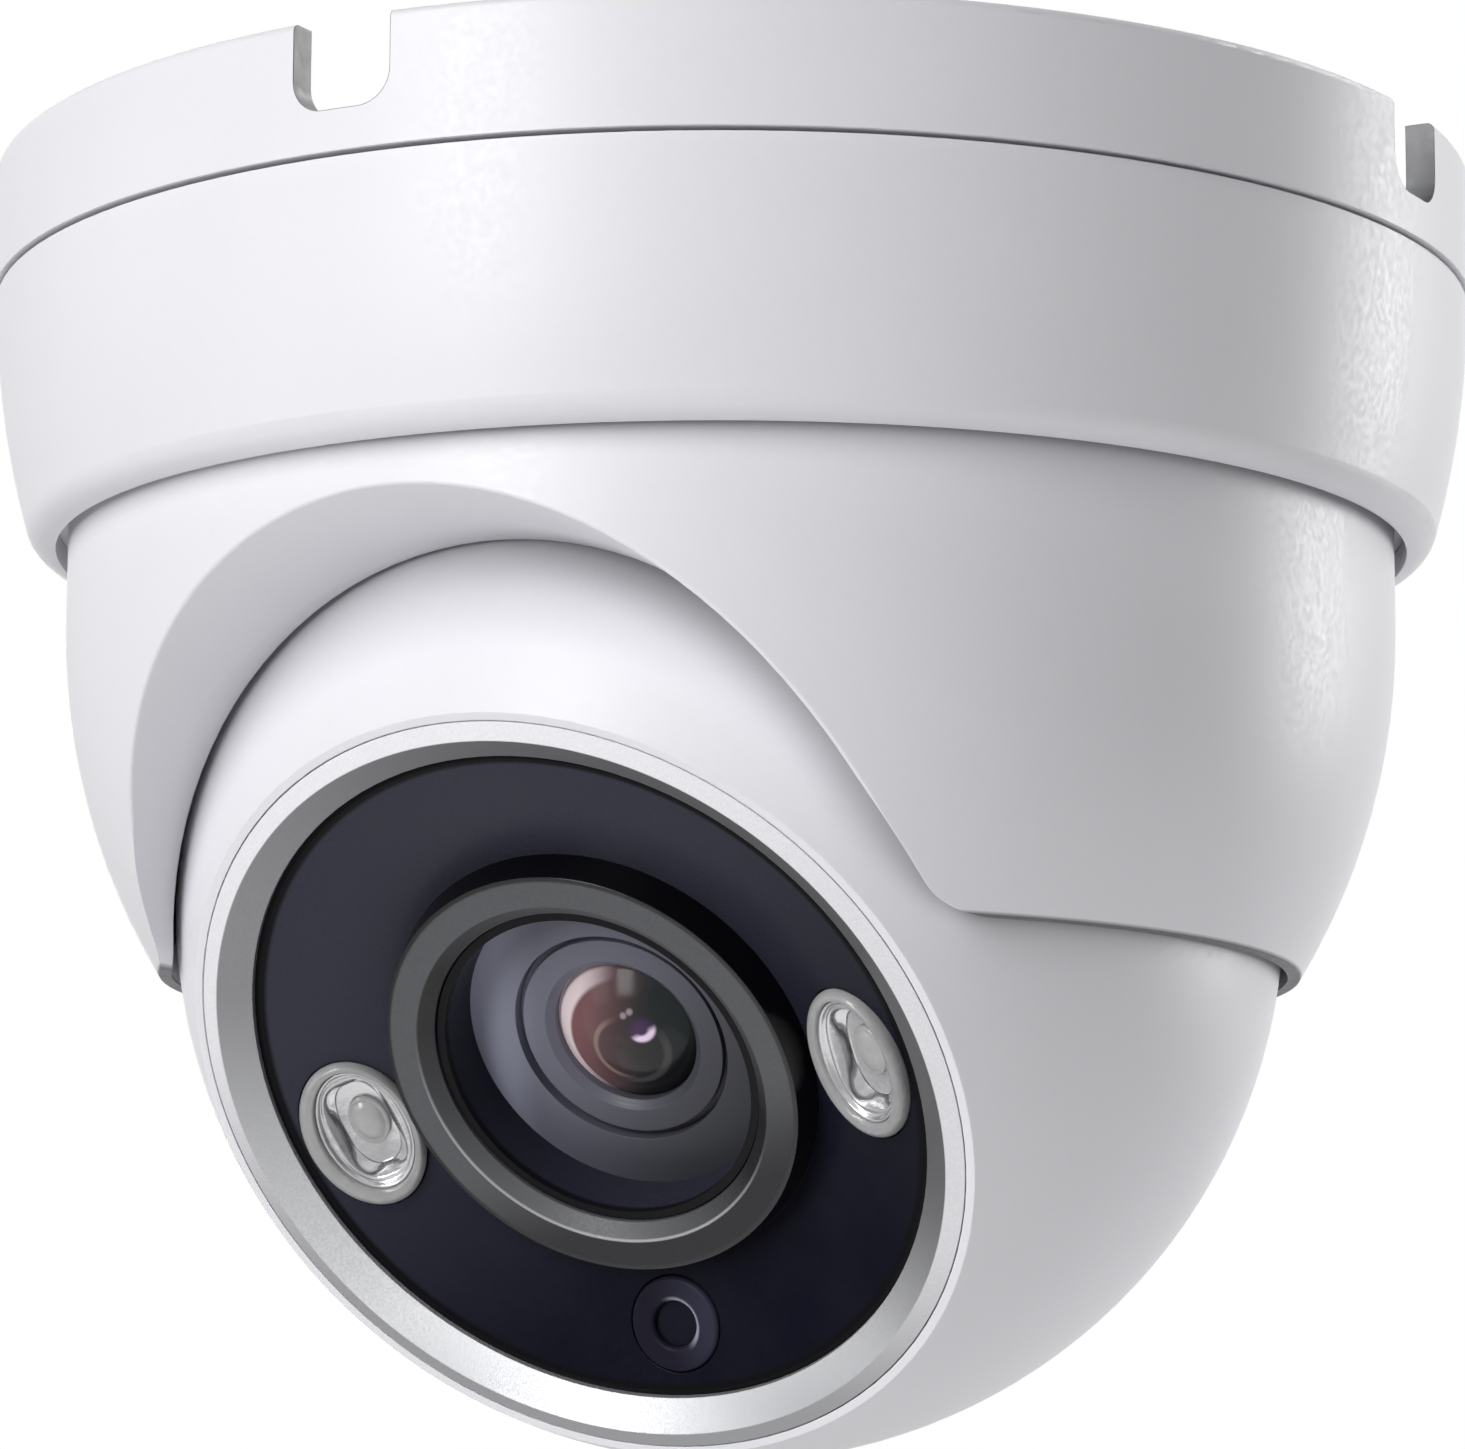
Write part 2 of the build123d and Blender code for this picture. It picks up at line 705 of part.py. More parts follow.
# Lamp board behind the mask
with BuildPart() as led_board:
    with BuildSketch(eye.offset(lamp_board_back)):
        annulus(lamp_board_radius, collar_bore_radius)
        with Locations(*face_spots(lamp_circle - mask_post_inset, mask_post_angles)):
            Circle(screw_shank_radius, mode=Mode.SUBTRACT)
    extrude(amount=board_thickness)

# Screws from the lamp board into the mask's posts
with BuildPart() as mask_screws:
    with BuildSketch(eye.offset(lamp_board_back)):
        with Locations(*face_spots(lamp_circle - mask_post_inset, mask_post_angles)):
            Circle(screw_head_radius)
    extrude(amount=-screw_head_height)
    with BuildSketch(eye.offset(lamp_board_back)):
        with Locations(*face_spots(lamp_circle - mask_post_inset, mask_post_angles)):
            Circle(screw_shank_radius)
    extrude(amount=board_thickness + mask_screw_bite)

# Lamps: chips on the board, bright cups over them and clear caps through the mask
cap_depth = cap_seat_depth + cap_flange_height
cup_height = cap_depth + cap_proud - cap_wall
chip_circle = lamp_circle + (spot_height - lamp_board_top) * tan(radians(dish_slope))
with BuildPart() as led_chips:
    with BuildSketch(eye.offset(lamp_board_top)):
        with Locations(*face_spots(chip_circle, lamp_angles)):
            Rectangle(chip_size, chip_size)
    extrude(amount=chip_height)
with BuildPart() as led_cups:
    for angle in lamp_angles:
        cup_base = face_plane(angle).offset(-cap_depth)
        with BuildSketch(cup_base):
            lamp_oval(-cap_wall - fit_gap)
        extrude(amount=cup_height)
        with BuildSketch(cup_base):
            Circle(cup_throat_radius)
        with BuildSketch(cup_base.offset(cup_height)):
            lamp_oval(-cap_wall - fit_gap - cup_edge)
        loft(mode=Mode.SUBTRACT)
with BuildPart() as led_caps:
    for angle in lamp_angles:
        cap_base = face_plane(angle).offset(-cap_depth)
        with BuildPart() as cap:
            with BuildSketch(cap_base):
                lamp_oval(cap_flange)
            extrude(amount=cap_flange_height)
            with BuildSketch(cap_base):
                lamp_oval(0)
            extrude(amount=cap_depth + cap_proud)
            fillet(cap.edges().sort_by(Axis(cap_base.origin, cap_base.z_dir))[-1], cap_edge_radius)
            with BuildSketch(cap_base):
                lamp_oval(-cap_wall)
            extrude(amount=cup_height, mode=Mode.SUBTRACT)

# Light sensor: a diode on the board, seen through a small window in its own bezel
sensor_face = face_plane(sensor_angle)
window_seat = sensor_bezel_proud - 2 * sensor_window_thickness
with BuildPart() as photo_diode:
    with BuildSketch(eye.offset(lamp_board_top)):
        with Locations(*face_spots(chip_circle, (sensor_angle,))):
            Circle(photo_diode_radius)
    extrude(amount=photo_diode_height)
    fillet(photo_diode.edges().sort_by(aim)[-1], photo_diode_radius / 2)
with BuildPart() as sensor_bezel:
    with BuildSketch(sensor_face.offset(-sensor_bezel_depth)):
        annulus(sensor_bezel_radius, sensor_window_radius - sensor_step)
    extrude(amount=sensor_bezel_depth + sensor_bezel_proud)
    with BuildSketch(sensor_face.offset(window_seat)):
        Circle(sensor_window_radius)
    extrude(amount=sensor_bezel_proud - window_seat, mode=Mode.SUBTRACT)
    out_of_face = Axis(sensor_face.origin, sensor_face.z_dir)
    fillet(sensor_bezel.edges().group_by(out_of_face)[-1], sensor_bezel_edge)
with BuildPart() as sensor_window:
    with BuildSketch(sensor_face.offset(window_seat)):
        Circle(sensor_window_radius)
    extrude(amount=sensor_window_thickness)

# Collar round the lens, standing on the lamp board and proud of the dish
with BuildPart() as lens_collar:
    with BuildSketch(eye_section) as collar_profile:
        with BuildLine():
            Polyline(
                (collar_bore_radius, lamp_board_top),
                (collar_neck_radius, lamp_board_top),
                (collar_neck_radius, mask_root),
                (collar_base_radius, mask_root),
                (collar_face_radius, collar_front),
                (collar_lip_radius, collar_front),
                (collar_bore_radius, collar_front - collar_bevel),
                close=True,
            )
        make_face()
        fillet(collar_profile.vertices().sort_by(aim)[-2:].sort_by(Axis.X)[-1], collar_edge_radius)
    revolve(axis=aim)

# Rubber shroud that keeps the lamps' light out of the lens
with BuildPart() as lens_shroud:
    with BuildSketch(eye.offset(lens_face)):
        annulus(shroud_radius, shroud_radius - shroud_wall)
    extrude(amount=well_depth - shroud_drop)

# Lens barrel with its flange, front recess and through bore
with BuildPart() as lens_barrel:
    with BuildSketch(eye_section):
        with BuildLine():
            Polyline(
                (barrel_bore, barrel_end),
                (barrel_radius, barrel_end),
                (barrel_radius, barrel_shoulder),
                (shroud_radius, barrel_shoulder),
                (shroud_radius, lens_face),
                (barrel_recess_radius, lens_face),
                (barrel_recess_radius, recess_floor),
                (barrel_bore, recess_floor),
                close=True,
            )
        make_face()
    revolve(axis=aim)

# Retaining ring over the front glass, with a groove round its top and a bevel down to the glass
retainer_radius = barrel_recess_radius - fit_gap / 2
retainer_top = recess_floor + retainer_thickness
with BuildPart() as lens_retainer:
    with BuildSketch(eye_section):
        with BuildLine():
            Polyline(
                (front_glass_radius, recess_floor),
                (retainer_radius, recess_floor),
                (retainer_radius, recess_floor + retainer_thickness / 2),
                (retainer_radius - retainer_groove, recess_floor + retainer_thickness / 2),
                (retainer_radius - retainer_groove, retainer_top),
                (front_glass_radius + retainer_bevel, retainer_top),
                (front_glass_radius, retainer_top - retainer_bevel),
                close=True,
            )
        make_face()
    revolve(axis=aim)

# Glass of the lens: a domed front, and two inner elements parted by spacers
glass_radius = barrel_bore - fit_gap / 2
front_glass_back = recess_floor - front_glass_thickness
inner_glass_pitch = (front_glass_back - barrel_end) / inner_glass_count
spacer_length = inner_glass_pitch - inner_glass_thickness
inner_glass_backs = [barrel_end + inner_glass_pitch * place for place in range(inner_glass_count)]
with BuildPart() as front_glass:
    dome_base = front_glass_radius - fit_gap / 2
    with BuildSketch(eye_section):
        with BuildLine():
            Polyline(
                (0, front_glass_back),
                (glass_radius, front_glass_back),
                (glass_radius, recess_floor),
                (dome_base, recess_floor),
            )
            crown(dome_base, recess_floor, front_glass_rise)
            Line((0, recess_floor + front_glass_rise), (0, front_glass_back))
        make_face()
    revolve(axis=aim)
with BuildPart() as inner_glass:
    hollow_edge = glass_radius - spacer_wall
    for back in inner_glass_backs:
        front = back + inner_glass_thickness
        with BuildSketch(eye_section):
            with BuildLine():
                Polyline(
                    (0, back),
                    (glass_radius, back),
                    (glass_radius, front),
                    (hollow_edge, front),
                )
                crown(hollow_edge, front, -glass_hollow)
                Line((0, front - glass_hollow), (0, back))
            make_face()
        revolve(axis=aim)
with BuildPart() as lens_spacers:
    for back in inner_glass_backs:
        with BuildSketch(eye.offset(back + inner_glass_thickness)):
            annulus(glass_radius, glass_radius - spacer_wall)
        extrude(amount=spacer_length)

# Slotted lock ring on the barrel, tightened against the holder
with BuildPart() as lens_lock_ring:
    with BuildSketch(eye.offset(holder_top)):
        annulus(barrel_radius + lock_ring_reach, barrel_radius)
        with PolarLocations(barrel_radius + lock_ring_reach, lock_ring_slots):
            Rectangle(lock_ring_reach, lock_ring_slot_width, mode=Mode.SUBTRACT)
    extrude(amount=lock_ring_height)

# Lens holder: a threaded tube on a block that houses the filter slide above the image sensor
with BuildPart() as lens_holder:
    with BuildSketch(eye.offset(sensor_board_top)):
        Rectangle(holder_length, holder_width)
    extrude(amount=holder_block_height)
    with BuildSketch(eye.offset(holder_shoulder)):
        annulus(barrel_radius + holder_tube_wall, barrel_radius + fit_gap)
    extrude(amount=holder_tube_height)
    with BuildSketch(eye.offset(slide_floor)):
        Circle(light_path_radius)
    extrude(amount=holder_shoulder - slide_floor, mode=Mode.SUBTRACT)
    slide_room = slide_length + filter_travel + 2 * face_gap
    with BuildSketch(eye.offset(slide_floor)):
        with Locations((-slide_room / 2, 0)):
            Rectangle(slide_room / 2 + holder_length, slide_width + 2 * face_gap,
                      align=(Align.MIN, Align.CENTER))
    extrude(amount=slide_headroom, mode=Mode.SUBTRACT)
    with BuildSketch(eye.offset(sensor_board_top)):
        Rectangle(image_chip_length + 2 * slide_rail, slide_width - 2 * slide_rail)
    extrude(amount=slide_lift, mode=Mode.SUBTRACT)

# Filter slide with its two windows, at rest with the daylight filter over the sensor
slide_middle = -filter_travel / 2
with BuildPart() as filter_slide:
    with BuildSketch(eye.offset(slide_bottom)):
        with Locations((slide_middle, 0)):
            Rectangle(slide_length, slide_width)
            with GridLocations(filter_travel, 0, 2, 1):
                Rectangle(window_length, window_width, mode=Mode.SUBTRACT)
    extrude(amount=slide_thickness)
with BuildPart() as day_filter:
    with BuildSketch(eye.offset(slide_top)):
        Rectangle(window_length + 2 * filter_lap, window_width + 2 * filter_lap)
    extrude(amount=filter_thickness)
with BuildPart() as night_filter:
    with BuildSketch(eye.offset(slide_top)):
        with Locations((-filter_travel, 0)):
            Rectangle(window_length + 2 * filter_lap, window_width + 2 * filter_lap)
    extrude(amount=filter_thickness)
with BuildPart() as filter_coil:
    with BuildSketch(eye.offset(sensor_board_top)):
        with Locations((0, (holder_width + coil_width) / 2)):
            RectangleRounded(coil_length, coil_width, coil_width / 4)
    extrude(amount=coil_height)

# Image sensor and the boards that carry it
with BuildPart() as image_sensor:
    with BuildSketch(eye.offset(sensor_board_top)):
        Rectangle(image_chip_length, image_chip_width)
    extrude(amount=image_chip_height)
with BuildPart() as sensor_board:
    with BuildSketch(eye.offset(sensor_board_back)):
        RectangleRounded(sensor_board_size, sensor_board_size, sensor_board_corner)
        with GridLocations(standoff_pitch, standoff_pitch, 2, 2):
            Circle(screw_shank_radius, mode=Mode.SUBTRACT)
    extrude(amount=board_thickness)
with BuildPart() as board_standoffs:
    with BuildSketch(eye.offset(main_board_top)):
        with GridLocations(standoff_pitch, standoff_pitch, 2, 2):
            RegularPolygon(standoff_radius, 6)
    extrude(amount=standoff_length)
    with BuildSketch(eye.offset(sensor_board_back)):
        with GridLocations(standoff_pitch, standoff_pitch, 2, 2):
            Circle(screw_shank_radius)
    extrude(amount=-screw_bite, mode=Mode.SUBTRACT)
with BuildPart() as sensor_board_screws:
    with BuildSketch(eye.offset(sensor_board_top)):
        with GridLocations(standoff_pitch, standoff_pitch, 2, 2):
            Circle(screw_head_radius)
    extrude(amount=screw_head_height)
    with BuildSketch(eye.offset(sensor_board_top)):
        with GridLocations(standoff_pitch, standoff_pitch, 2, 2):
            Circle(screw_shank_radius)
    extrude(amount=-board_thickness - screw_bite)
with BuildPart() as main_board:
    with BuildSketch(eye.offset(main_board_back)):
        Circle(main_board_radius)
        with PolarLocations(post_circle, post_count, post_first_angle):
            Circle(screw_shank_radius, mode=Mode.SUBTRACT)
    extrude(amount=board_thickness)
with BuildPart() as main_board_screws:
    with BuildSketch(eye.offset(main_board_back)):
        with PolarLocations(post_circle, post_count, post_first_angle):
            Circle(screw_head_radius)
    extrude(amount=-screw_head_height)
    with BuildSketch(eye.offset(main_board_back)):
        with PolarLocations(post_circle, post_count, post_first_angle):
            Circle(screw_shank_radius)
    extrude(amount=board_thickness + screw_bite)

# What stands on the back of the main board
with BuildPart() as processor:
    with BuildSketch(eye.offset(main_board_back)):
        Rectangle(processor_size, processor_size)
    extrude(amount=-processor_height)
with BuildPart() as capacitors:
    with BuildSketch(eye.offset(main_board_back)):
        with Locations((0, capacitor_offset)):
            with GridLocations(capacitor_pitch, 0, 2, 1):
                Circle(capacitor_radius)
    extrude(amount=-capacitor_height)
with BuildPart() as lead_connector:
    with BuildSketch(eye.offset(main_board_back)):
        with Locations((0, -connector_offset)):
            Rectangle(connector_length, connector_width)
    extrude(amount=-connector_height)
    with BuildSketch(eye.offset(main_board_back - connector_height)):
        with Locations((0, -connector_offset)):
            Rectangle(connector_length - 2 * connector_wall, connector_width - 2 * connector_wall)
    extrude(amount=connector_height - connector_wall, mode=Mode.SUBTRACT)

# Swivelling cable gland at the back, held by its nut, so that the eye can roll round the lead
gland_nut_back = rear_wall_inside + face_gap
gland_flange_front = -(rear_depth + face_gap)
gland_end = gland_flange_front - gland_flange_thickness - gland_boot_length
with BuildPart() as cable_gland:
    with BuildSketch(eye_section):
        with BuildLine():
            Polyline(
                (gland_bore_radius, gland_end),
                (gland_boot_radius, gland_end),
                (gland_shaft_radius, gland_flange_front - gland_flange_thickness),
                (gland_flange_radius, gland_flange_front - gland_flange_thickness),
                (gland_flange_radius, gland_flange_front),
                (gland_shaft_radius, gland_flange_front),
                (gland_shaft_radius, gland_nut_back + gland_nut_height),
                (gland_bore_radius, gland_nut_back + gland_nut_height),
                close=True,
            )
        make_face()
    revolve(axis=aim)
with BuildPart() as gland_nut:
    with BuildSketch(eye.offset(gland_nut_back)):
        RegularPolygon(gland_nut_width / 2, 6, major_radius=False)
        Circle(gland_shaft_radius, mode=Mode.SUBTRACT)
    extrude(amount=gland_nut_height)

pieces = {
    "base_housing": base_housing,
    "pan_gasket": pan_gasket,
    "locking_ring": locking_ring,
    "dome_shell": dome_shell,
    "friction_collar": friction_collar,
    "cable_gland": cable_gland,
    "gland_nut": gland_nut,
    "ball_front": ball_front,
    "ball_rear": ball_rear,
    "ball_seal": ball_seal,
    "front_bezel": front_bezel,
    "mask_gasket": mask_gasket,
    "front_mask": front_mask,
    "led_board": led_board,
    "mask_screws": mask_screws,
    "led_chips": led_chips,
    "led_cups": led_cups,
    "led_caps": led_caps,
    "photo_diode": photo_diode,
    "sensor_bezel": sensor_bezel,
    "sensor_window": sensor_window,
    "lens_collar": lens_collar,
    "lens_shroud": lens_shroud,
    "lens_barrel": lens_barrel,
    "lens_retainer": lens_retainer,
    "front_glass": front_glass,
    "inner_glass": inner_glass,
    "lens_spacers": lens_spacers,
    "lens_lock_ring": lens_lock_ring,
    "lens_holder": lens_holder,
    "filter_slide": filter_slide,
    "day_filter": day_filter,
    "night_filter": night_filter,
    "filter_coil": filter_coil,
    "image_sensor": image_sensor,
    "sensor_board": sensor_board,
    "board_standoffs": board_standoffs,
    "sensor_board_screws": sensor_board_screws,
    "main_board": main_board,
    "main_board_screws": main_board_screws,
    "processor": processor,
    "capacitors": capacitors,
    "lead_connector": lead_connector,
}
for name, piece in pieces.items():
    piece.part.label = name
    export_step(piece.part, f"parts/{name}.step")
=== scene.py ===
"""Looks of a ceiling eyeball security camera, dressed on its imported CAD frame."""
import json
from math import copysign, cos, pi, radians, sin

import bmesh
import bpy
from mathutils import Euler, Matrix, Vector


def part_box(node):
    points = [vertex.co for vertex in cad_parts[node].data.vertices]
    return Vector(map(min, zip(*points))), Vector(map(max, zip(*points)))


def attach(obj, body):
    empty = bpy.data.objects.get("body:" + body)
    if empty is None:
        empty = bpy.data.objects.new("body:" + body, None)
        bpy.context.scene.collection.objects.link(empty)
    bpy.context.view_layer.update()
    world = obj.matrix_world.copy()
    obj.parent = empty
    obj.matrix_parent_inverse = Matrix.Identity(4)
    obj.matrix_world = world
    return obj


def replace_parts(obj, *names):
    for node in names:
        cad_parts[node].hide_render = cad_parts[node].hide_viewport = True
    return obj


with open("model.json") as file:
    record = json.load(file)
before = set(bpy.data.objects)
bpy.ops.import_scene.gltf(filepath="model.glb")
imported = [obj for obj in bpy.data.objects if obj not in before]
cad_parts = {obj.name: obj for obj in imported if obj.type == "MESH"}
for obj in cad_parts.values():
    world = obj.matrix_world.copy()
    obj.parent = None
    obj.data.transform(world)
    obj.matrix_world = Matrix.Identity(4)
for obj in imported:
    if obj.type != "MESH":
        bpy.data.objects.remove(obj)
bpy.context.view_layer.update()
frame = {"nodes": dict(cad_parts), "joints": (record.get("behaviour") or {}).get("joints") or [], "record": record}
nodes = frame["nodes"]
scene = bpy.context.scene
MM = 0.001

# Sizes in millimetres. On the face they count from the eye's aim, and on the base from its axis

mask_radius = 25.3
bezel_rim = 27.9
collar_wall = 15.5
collar_lip = 13.5
well_top = 23.6
window_radius = 1.8
lamp_circle = 20.9
lamp_height = 24.36
sensor_spot = (0, -lamp_circle)
notch_half, notch_depth, notch_corner, notch_start = 3.8, 6.4, 2.4, 49.0
rim_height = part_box("dome_shell")[0][2] / MM

# Where the lamps stand round the face, and how far they tip towards its middle, in degrees

lamp_angles = (-1.1, 191.1)
lamp_slope = 19.65

# The eye's own frame: x across its face, y up it, z along its aim, from the middle of the ball

roll = next(joint for joint in frame["joints"] if joint["name"] == "roll")
eye_middle = Vector(roll["pos_m"])
aim = Vector(roll["axis"]).normalized()
across = Vector((1, 0, 0))
eye_turn = Matrix((across, aim.cross(across), aim)).transposed()
eye_place = Matrix.Translation(eye_middle) @ eye_turn.to_4x4() @ Matrix.Scale(MM, 4)


# Shader helpers: most of them add nodes to a material's tree and give back an output of the last one

def srgb(red, green, blue):
    """A colour as a picture shows it, 0 to 255, in the linear values that shaders take."""
    return tuple(((v / 255 + 0.055) / 1.055) ** 2.4 for v in (red, green, blue))


def new_material(name, **sockets):
    """A Principled material, with its constant values on the shader's own sockets."""
    material = bpy.data.materials.new(name)
    material.use_nodes = True
    shader = material.node_tree.nodes["Principled BSDF"]
    for label, value in sockets.items():
        shader.inputs[label.replace("_", " ")].default_value = value
    return material, material.node_tree, shader


def plug(tree, sockets, values):
    """Feeds sockets in their order: a node's output by a link, and anything else as a constant."""
    for socket, value in zip(sockets, values):
        if isinstance(value, bpy.types.NodeSocket):
            tree.links.new(value, socket)
        else:
            socket.default_value = value


def combine(tree, operation, *values):
    """Values and numbers put together by a sum, a product or another operation."""
    node = tree.nodes.new("ShaderNodeMath")
    node.operation = operation
    plug(tree, node.inputs, values)
    return node.outputs[0]


def combine_vectors(tree, operation, *values):
    """The same for points and directions. It gives a Vector and a Value."""
    node = tree.nodes.new("ShaderNodeVectorMath")
    node.operation = operation
    plug(tree, node.inputs, values)
    return node.outputs


def object_point(tree):
    """Coordinates fixed to the piece, in metres of the whole part."""
    return tree.nodes.new("ShaderNodeTexCoord").outputs["Object"]


def body_point(tree):
    """Coordinates fixed to the piece, in millimetres of the whole part."""
    return combine_vectors(tree, "MULTIPLY", object_point(tree), (1 / MM, 1 / MM, 1 / MM))["Vector"]


def eye_point(tree):
    """Coordinates fixed to the piece, in millimetres of the eye's own frame."""
    turn = tree.nodes.new("ShaderNodeMapping")
    turn.vector_type = "TEXTURE"
    plug(tree, turn.inputs, (object_point(tree), eye_middle, eye_turn.to_euler(), (MM, MM, MM)))
    return turn.outputs["Vector"]


def along(tree, point, direction):
    """How far a point lies along a direction."""
    return combine_vectors(tree, "DOT_PRODUCT", point, direction)["Value"]


def from_axis(tree, point, spot=(0, 0)):
    """Distance from a line along z: through the middle of the part or the face, or through a spot on it."""
    flat = combine_vectors(tree, "MULTIPLY_ADD", point, (1, 1, 0), (-spot[0], -spot[1], 0))["Vector"]
    return combine_vectors(tree, "LENGTH", flat)["Value"]


def noise(tree, point, grain):
    """Noise with features about this many millimetres across."""
    node = tree.nodes.new("ShaderNodeTexNoise")
    node.inputs["Scale"].default_value = 1 / grain
    tree.links.new(point, node.inputs["Vector"])
    return node.outputs["Fac"]


def span(tree, value, start, end, low=0.0, high=1.0, smooth=False):
    """A value carried from one range to another and held at its ends."""
    node = tree.nodes.new("ShaderNodeMapRange")
    node.interpolation_type = "SMOOTHSTEP" if smooth else "LINEAR"
    plug(tree, node.inputs, (value, start, end, low, high))
    return node.outputs["Result"]


def spread(tree, grain_noise, low=0.0, high=1.0):
    """The range that a noise mostly keeps to, carried to another."""
    return span(tree, grain_noise, 0.3, 0.7, low, high)


def towards(tree, point, direction, start, end):
    """0 to 1, smoothly, from one distance along a direction to another."""
    return span(tree, along(tree, point, direction), start, end, smooth=True)


def past(tree, value, limit):
    """How far a value goes past a limit, or 0 where it doesn't."""
    return combine(tree, "MAXIMUM", combine(tree, "SUBTRACT", value, limit), 0.0)


def blend(tree, factor, *colours):
    """A colour between two, by a factor that varies over the surface."""
    node = tree.nodes.new("ShaderNodeMix")
    node.data_type = "RGBA"
    tree.links.new(factor, node.inputs[0])
    sockets = [socket for socket in node.inputs if socket.type == "RGBA"]
    plug(tree, sockets, [(*c, 1.0) if isinstance(c, tuple) else c for c in colours])
    return next(output for output in node.outputs if output.type == "RGBA")


def patch(tree, point, shade, spot, inner, outer, strength, colour):
    """A soft round patch of another colour on a spot of the face."""
    mask = span(tree, from_axis(tree, point, spot), inner, outer, strength, 0.0, smooth=True)
    return blend(tree, mask, shade, colour)


def arc(tree, point, shade, spot, radius, width, side, colour):
    """A soft arc of another colour round a spot of the face, strongest towards one side."""
    off = combine(tree, "ABSOLUTE", combine(tree, "SUBTRACT", from_axis(tree, point, spot), radius))
    ring = span(tree, off, width / 4, width, 1.0, 0.0, smooth=True)
    middle = spot[0] * side[0] + spot[1] * side[1]
    facing = towards(tree, point, side, middle, middle + 0.8 * radius)
    return blend(tree, combine(tree, "MULTIPLY", ring, facing), shade, colour)


def rounded_normal(tree, radius):
    """The surface's normal, with its edges rounded by this many millimetres."""
    edge = tree.nodes.new("ShaderNodeBevel")
    edge.samples = edge_samples
    edge.inputs["Radius"].default_value = radius * MM
    return edge.outputs["Normal"]


def edge_mask(tree, radius):
    """1 on the part's sharp edges and 0 a small radius away from them."""
    surface = tree.nodes.new("ShaderNodeNewGeometry")
    lean = combine_vectors(tree, "DOT_PRODUCT", rounded_normal(tree, radius), surface.outputs["Normal"])
    return span(tree, lean["Value"], 0.995, 0.85)


def gap_mask(tree):
    """1 deep in the gaps between pieces and 0 in the open."""
    gap = tree.nodes.new("ShaderNodeAmbientOcclusion")
    gap.samples = edge_samples
    gap.inputs["Distance"].default_value = gap_reach * MM
    return span(tree, gap.outputs["AO"], 0.25, 0.9, 1.0, 0.0, smooth=True)


def dress(tree, shader, shade, gloss, height, depth, soft_edge=0.0):
    """Gives a shader its colour, roughness and bump, over edges that look rounded by a small radius."""
    bump = tree.nodes.new("ShaderNodeBump")
    bump.inputs["Distance"].default_value = depth * MM
    tree.links.new(height, bump.inputs["Height"])
    if soft_edge:
        tree.links.new(rounded_normal(tree, soft_edge), bump.inputs["Normal"])
    tree.links.new(shade, shader.inputs["Base Color"])
    tree.links.new(gloss, shader.inputs["Roughness"])
    tree.links.new(bump.outputs["Normal"], shader.inputs["Normal"])


# Finishes

edge_samples = 6
gap_reach = 5.0
wear_reach, wear_polish = 0.35, 0.3
smear_grain = 2.5
patch_grains, scuff_grains = 30, 8
grain_share = 0.4
gloss_swing = 0.15
white = (0.80, 0.795, 0.83)
worn_white = (0.86, 0.855, 0.88)
gap_shade_colour = (0.40, 0.397, 0.42)
shell_foot_shade = (0.10, 0.10, 0.11)
notch_shade = (0.26, 0.262, 0.27)
black = (0.003, 0.003, 0.004)
polished_black = (0.002, 0.002, 0.003)


def coat(name, colour, roughness, grain, depth, drift, worn=None, dust=None, bare=None, soft_edge=0.15,
         **sockets):
    """Moulded, painted or plated surface, with a grain, an uneven gloss and a colour that drifts.

    Its edges may be worn to another colour, painted shade may darken its gaps on its right, and painted shade may
    darken a given place on it.
    """
    material, tree, shader = new_material(name, **sockets)
    point = body_point(tree)
    fine = noise(tree, point, grain)
    broad = noise(tree, point, grain * patch_grains)
    mixed = combine(tree, "MULTIPLY_ADD", fine, grain_share, broad)
    low = tuple(c * (1 - drift) for c in colour)
    high = tuple(min(1.0, c * (1 + drift)) for c in colour)
    shade = blend(tree, span(tree, mixed, 0.35, 1.05), low, high)
    gloss = spread(tree, fine, roughness * (1 - gloss_swing), roughness * (1 + gloss_swing))
    if worn:
        scuffs = span(tree, noise(tree, point, grain * scuff_grains), 0.35, 0.65)
        rubbed = combine(tree, "MULTIPLY", edge_mask(tree, wear_reach), scuffs)
        shade = blend(tree, rubbed, shade, worn)
        polish = combine(tree, "MULTIPLY", rubbed, roughness * wear_polish)
        gloss = combine(tree, "SUBTRACT", gloss, polish)
    # Painted shade: the surface darkens deep in its gaps, on its right side only.
    if dust:
        right_side = towards(tree, point, (1, 0, 0), -12, 12)
        shade = blend(tree, combine(tree, "MULTIPLY", right_side, gap_mask(tree)), shade, dust)
    # Painted shade over a given place.
    if bare:
        where, shade_colour = bare
        shade = blend(tree, where(tree, point), shade, shade_colour)
    dress(tree, shader, shade, gloss, fine, depth, soft_edge)
    return material


def white_coat(name, **extras):
    """White powder coat over the castings, rubbed paler along its edges."""
    return coat(name, white, roughness=0.42, grain=0.5, depth=0.003, drift=0.02, worn=worn_white, **extras)


def shell_foot(tree, point):
    """Where painted shade darkens the underside of the dome shell's rim."""
    return span(tree, along(tree, point, (0, 0, 1)), rim_height + 0.05, rim_height + 0.3, 1.0, 0.0)


def notch_walls(tree, point):
    """Where the four cable notches, with their rounded lower corners, are cut through the painted base."""
    margin = 0.03
    sides = [combine(tree, "ABSOLUTE", along(tree, point, axis)) for axis in ((1, 0, 0), (0, 1, 0))]
    side = past(tree, combine(tree, "MINIMUM", *sides), notch_half - notch_corner)
    drop = past(tree, along(tree, point, (0, 0, -1)), notch_depth - notch_corner)
    reach = combine(tree, "MULTIPLY_ADD", side, side, combine(tree, "MULTIPLY", drop, drop))
    inside = span(tree, reach, (notch_corner + margin) ** 2, (notch_corner + 2 * margin) ** 2, 1.0, 0.0)
    outside = span(tree, from_axis(tree, point), notch_start - 1, notch_start)
    return combine(tree, "MULTIPLY", inside, outside)


